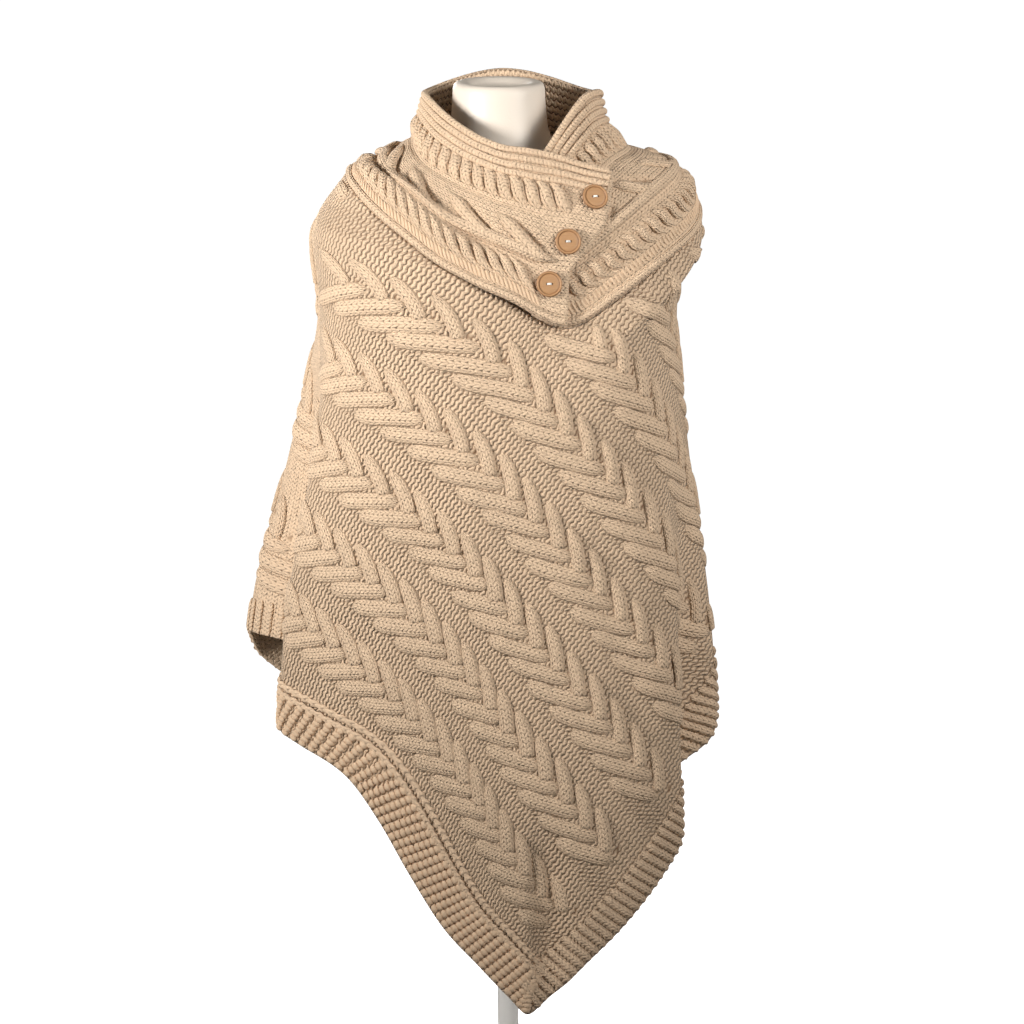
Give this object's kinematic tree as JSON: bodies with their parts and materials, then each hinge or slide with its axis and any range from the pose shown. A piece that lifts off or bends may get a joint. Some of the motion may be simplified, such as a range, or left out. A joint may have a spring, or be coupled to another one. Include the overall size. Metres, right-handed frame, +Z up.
{
  "type": "knitted poncho sweater on a dress form",
  "caption": "Cable-knit poncho with pointed hems and a lapped, buttoned cowl collar, worn open-bottomed over a plain limbless dress form on a round foot.",
  "frame": {"origin": "middle of the foot's flat underside, on the ground", "axes": "+Z up; the wearer looks along -Y; +X is the side on the wearer's left, where the buttons are"},
  "size_m": [0.4996, 0.3381, 1.0562],
  "materials": {
    "knit_oatmeal": "matte wool, oatmeal",
    "button_wood": "turned, waxed",
    "form_cream": "smooth matte cream",
    "stand_white": "white satin paint"
  },
  "bodies": {
    "root": {"front_panel": "knit_oatmeal", "back_panel": "knit_oatmeal", "collar": "knit_oatmeal", "button_1": "button_wood", "button_2": "button_wood", "button_3": "button_wood", "dress_form": "form_cream", "pole": "stand_white", "foot": "stand_white"}
  },
  "joints": []
}
